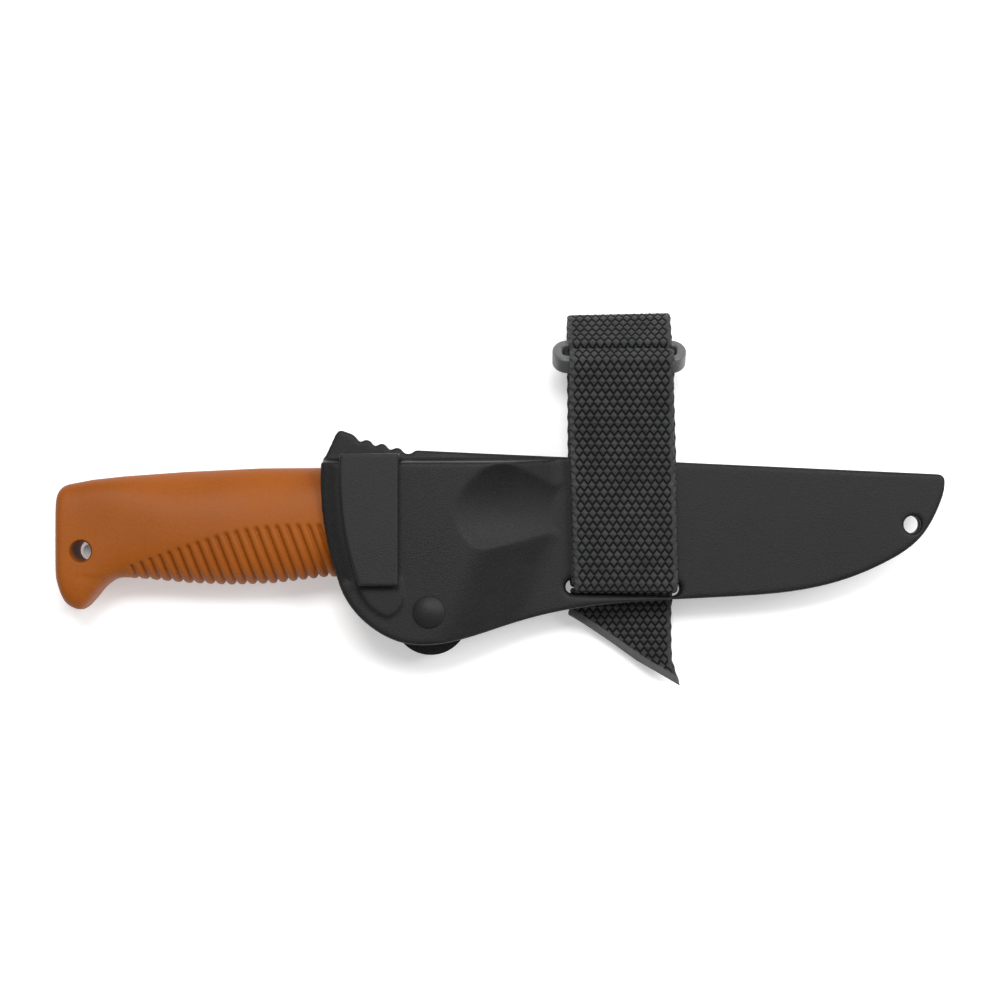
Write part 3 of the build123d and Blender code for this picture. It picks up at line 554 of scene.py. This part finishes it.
# degrees round the rivet, counted from +X
NOSE_START = 172
NOSE_TURN = 56
NOSE_STEPS = 24
NOSE_ROOM = 0.5 * MM
GRIP_TOP = [(3.9, 4.6), (10.1, 5.8), (19.3, 6.8), (37.6, 8.1), (58.9, 9.1), (76.0, 9.2), (108.0, 9.0)]
GRIP_LOW = [
    (0.0, -22.4), (1.4, -26.5), (2.7, -29.7), (4.8, -31.2), (7.1, -32.0), (8.3, -31.5), (11.3, -28.1),
    (13.2, -25.6), (16.2, -23.3), (18.7, -22.5), (25.7, -23.0), (38.0, -24.2), (50.4, -24.7), (62.6, -24.3),
    (71.6, -23.2), (77.7, -22.4), (90.6, -22.2), (91.3, -31.5), (93.0, -33.9), (98.5, -33.9), (99.8, -31.5),
    (100.4, -22.2), (108.0, -22.0),
]
RIB_ENDS = [
    (19.9, -19.5), (25.4, -17.5), (30.9, -15.5), (36.4, -13.6), (41.9, -11.8), (47.8, -9.9), (53.5, -8.5),
    (59.7, -7.6), (68.7, -7.0), (108.0, -7.0),
]


def curve(points, x):
    """Height of a curve through points (mm) at x (metres), a little rounded at its points."""
    px, py = (np.array(c) * MM for c in zip(*points))
    spread = np.linspace(-0.9, 0.9, 7) * MM
    return np.mean([np.interp(x + d, px, py) for d in spread], axis=0)


def edge_round(distance, radius, power):
    """From 0 at an edge to 1 at radius from it, as a rounded shoulder."""
    t = np.clip(distance / radius, 0, 1)
    return (1 - (1 - t) ** power) ** (1 / power)


def make_grip():
    """The soft overmould: its two rounded faces in plan outline, then its ribs, its hole and its notch."""
    low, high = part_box("handle_grip")
    length = high.x - low.x
    base_y = high.y - 9.2 * MM
    back = np.linspace(0, 1, 15)[:-1] ** 2 * 4.0 * MM
    body = np.arange(4.0 * MM, length - 3.0 * MM, 0.28 * MM)
    front = length - np.linspace(1, 0, 9) ** 1.6 * 3.0 * MM
    x = np.concatenate([back, body, front])
    top = curve(GRIP_TOP, x)
    corner = np.clip(x / CORNER_REACH, 0, 1)
    top = np.where(corner < 1, -1.2 * MM + (top + 1.2 * MM) * np.sqrt(1 - (1 - corner) ** 2), top)
    floor = curve(GRIP_LOW, x)
    cells = 84
    v = 0.5 - 0.5 * np.cos(np.linspace(0, math.pi, cells + 1))
    v = 0.5 * v + 0.5 * np.linspace(0, 1, cells + 1)
    xs = np.repeat(x[:, None], cells + 1, axis=1)
    ys = floor[:, None] + (top - floor)[:, None] * v[None, :]
    at_butt = 1 - smooth((x - 4.0 * MM) / (32.0 * MM))
    at_guard = smooth((x - 83.0 * MM) / (5.0 * MM))
    square = np.maximum(at_butt, at_guard)
    power = (BARREL_POWER + SQUARE_POWER * square)[:, None]
    full = np.maximum(smooth((ys + 27 * MM) / (6 * MM)), at_butt[:, None])
    half = GUARD_HALF + (GRIP_HALF - GUARD_HALF) * full
    rise = (1 - np.abs(2 * v[None, :] - 1) ** power) ** (1 / power)
    rise *= edge_round(x, 3.2 * MM, 3.2)[:, None] * edge_round(length - x, 2.0 * MM, 3.0)[:, None]
    swell = 1.0 - 0.035 * np.cos(2 * math.pi * np.clip(x / (70 * MM), 0, 1))
    height = half * rise * swell[:, None]
    rows, cols = xs.shape
    inner = np.arange(rows * cols).reshape(rows, cols)
    upper = np.stack([xs, ys, height], axis=-1).reshape(-1, 3)
    lower = upper * (1, 1, -1)
    faces = []
    for i in range(rows - 1):
        for j in range(cols - 1):
            a, b, c, d = inner[i, j], inner[i + 1, j], inner[i + 1, j + 1], inner[i, j + 1]
            faces.append((a, b, c, d))
            faces.append(tuple(n + rows * cols for n in (a, d, c, b)))
    mesh = bpy.data.meshes.new("grip_rubber")
    mesh.from_pydata((np.concatenate([upper, lower]) + (low.x, base_y, BLADE_PLANE)).tolist(), [], faces)
    bm = bmesh.new()
    bm.from_mesh(mesh)
    bmesh.ops.remove_doubles(bm, verts=bm.verts, dist=0.02 * MM)
    bmesh.ops.recalc_face_normals(bm, faces=bm.faces)
    ridge_grip(bm, low.x, base_y)
    bm.to_mesh(mesh)
    bm.free()
    mesh.polygons.foreach_set("use_smooth", [True] * len(mesh.polygons))
    piece = bpy.data.objects.new("grip_rubber", mesh)
    bpy.context.scene.collection.objects.link(piece)
    bore_grip(piece, low.x + HOLE_INSET, base_y - HOLE_DROP)
    notch_grip(piece)
    piece.data.materials.append(orange_rubber())
    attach(piece, "knife")
    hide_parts("handle_grip")


def ridge_grip(bm, back_x, base_y):
    """Presses the slanted valleys between the ribs into the grip, along its surface normals."""
    bm.normal_update()
    moves = []
    for vertex in bm.verts:
        x, y = vertex.co.x - back_x, vertex.co.y - base_y
        ends = float(curve(RIB_ENDS, np.array([x]))[0])
        within = float(smooth(np.array([(ends + 0.3 * MM - y) / (1.1 * MM)]))[0])
        within *= float(smooth(np.array([(x - RIB_START) / RIB_BLEND]))[0])
        within *= 1 - float(smooth(np.array([(x - LAST_RIB) / RIB_BLEND]))[0])
        if within == 0:
            continue
        phase = (x - FIRST_RIB + (y - RIB_FOOT_Y) * math.tan(RIB_SLANT)) / RIB_PITCH
        valley = (1 - abs(math.cos(math.pi * phase))) ** RIB_SHARPNESS
        moves.append((vertex, vertex.normal * -RIB_DEPTH * valley * within))
    for vertex, move in moves:
        vertex.co += move


def bore_grip(piece, x, y):
    """Cuts the lanyard hole with its flared mouths."""
    mouth = HOLE_RADIUS + HOLE_FLARE
    profile = [
        (mouth + 2 * MM, 14 * MM),
        (mouth, 10.6 * MM),
        (HOLE_RADIUS + 0.25 * MM, 10.0 * MM),
        (HOLE_RADIUS, 9.2 * MM),
    ]
    turn = [2 * math.pi * i / HOLE_SIDES for i in range(HOLE_SIDES)]
    loops = []
    for r, z in profile + [(r, -z) for r, z in reversed(profile)]:
        loops.append([(x + r * math.cos(a), y + r * math.sin(a), BLADE_PLANE + z) for a in turn])
    cut_away(piece, loops)


def notch_grip(piece):
    """Cuts the slot in the guard that the lever's nose swings into."""
    low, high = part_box("latch_lever")
    angles = [math.radians(NOSE_START + NOSE_TURN * i / NOSE_STEPS) for i in range(NOSE_STEPS + 1)]
    arc = [(NOSE_OUTER * math.cos(a), NOSE_OUTER * math.sin(a)) for a in angles]
    arc += [(NOSE_INNER * math.cos(a), NOSE_INNER * math.sin(a)) for a in reversed(angles)]
    heights = (low.z - NOSE_ROOM, high.z + NOSE_ROOM)
    cut_away(piece, [[(RIVET.x + u, RIVET.y + v, z) for u, v in arc] for z in heights])


def cut_away(piece, loops):
    """Subtracts from the piece the closed body whose sections are the loops, one above another."""
    bm = bmesh.new()
    rings = [[bm.verts.new(point) for point in loop] for loop in loops]
    for one, two in zip(rings, rings[1:]):
        for i in range(len(one)):
            bm.faces.new((one[i], one[i - 1], two[i - 1], two[i]))
    bm.faces.new(rings[0])
    bm.faces.new(rings[-1][::-1])
    bmesh.ops.recalc_face_normals(bm, faces=bm.faces)
    mesh = bpy.data.meshes.new("cutter")
    bm.to_mesh(mesh)
    bm.free()
    cutter = bpy.data.objects.new("cutter", mesh)
    bpy.context.scene.collection.objects.link(cutter)
    cut = piece.modifiers.new("cut", "BOOLEAN")
    cut.operation = "DIFFERENCE"
    cut.solver = "EXACT"
    cut.object = cutter
    apply_modifiers(piece)
    bpy.data.objects.remove(cutter)


def apply_modifiers(piece):
    """Puts the result of the piece's modifiers into its mesh."""
    bpy.context.view_layer.update()
    evaluated = piece.evaluated_get(bpy.context.evaluated_depsgraph_get())
    mesh = bpy.data.meshes.new_from_object(evaluated)
    piece.modifiers.clear()
    piece.data = mesh


# ---------------------------------------------------------------- softened mouldings

def soften(node, name, body, material, voxel, passes):
    """A copy of a CAD node with its edges and creases rounded as a moulding's are."""
    mesh = NODES[node].data.copy()
    piece = bpy.data.objects.new(name, mesh)
    bpy.context.scene.collection.objects.link(piece)
    remesh = piece.modifiers.new("remesh", "REMESH")
    remesh.mode = "VOXEL"
    remesh.voxel_size = voxel
    relax = piece.modifiers.new("relax", "SMOOTH")
    relax.factor = 0.5
    relax.iterations = passes
    apply_modifiers(piece)
    piece.data.materials.clear()
    piece.data.materials.append(material)
    piece.data.polygons.foreach_set("use_smooth", [True] * len(piece.data.polygons))
    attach(piece, body)
    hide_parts(node)
    return piece


# ---------------------------------------------------------------- finishes on the CAD nodes

# voxel size and smoothing passes of soften()
SHELL_REMESH = (0.5 * MM, 7)
CLIP_REMESH = (0.28 * MM, 2)


def finish_nodes():
    sheath = moulded("sheath_black", (0.0012, 0.0012, 0.0013), (0.0125, 0.0126, 0.0129), 0.54, gloss=0.25)
    clip = moulded("clip_black", (0.0025, 0.0025, 0.0026), (0.0155, 0.0156, 0.0160), 0.52, gloss=0.27)
    ring = moulded("ring_grey", (0.080, 0.081, 0.082), (0.115, 0.116, 0.118), 0.40, depth=0.00002, gloss=0.5)
    rivet = moulded(
        "rivet_black", (0.005, 0.005, 0.0052), (0.0125, 0.0125, 0.013), 0.50, depth=0.00003, gloss=0.25
    )
    core = moulded("core_black", (0.010, 0.010, 0.010), (0.018, 0.018, 0.018), 0.6)
    thread = moulded("thread_black", (0.010, 0.010, 0.010), (0.030, 0.030, 0.030), 0.7)
    finishes = {
        "blade": steel("blade_steel", (0.50, 0.505, 0.51), 0.34),
        "handle_core": core,
        "handle_grip": orange_rubber(),
        "sheath_back_shell": sheath,
        "sheath_front_shell": sheath,
        "seam_pins": core,
        "belt_clip": clip,
        "pivot_rivet": rivet,
        "rivet_cap": rivet,
        "rivet_washer": steel("washer_steel", (0.55, 0.55, 0.56), 0.35),
        "latch_lever": clip,
        "strap_stitching": thread,
        "strap_ring": ring,
    }
    for node, material in finishes.items():
        slots = NODES[node].material_slots
        for slot in slots:
            slot.material = material
    soften("sheath_back_shell", "back_moulding", "sheath", sheath, *SHELL_REMESH)
    soften("sheath_front_shell", "front_moulding", "sheath", sheath, *SHELL_REMESH)
    soften("belt_clip", "clip_moulding", "clip", clip, *CLIP_REMESH)


make_camera()
make_light()
make_floor()
finish_nodes()
make_grip()
make_webbing()
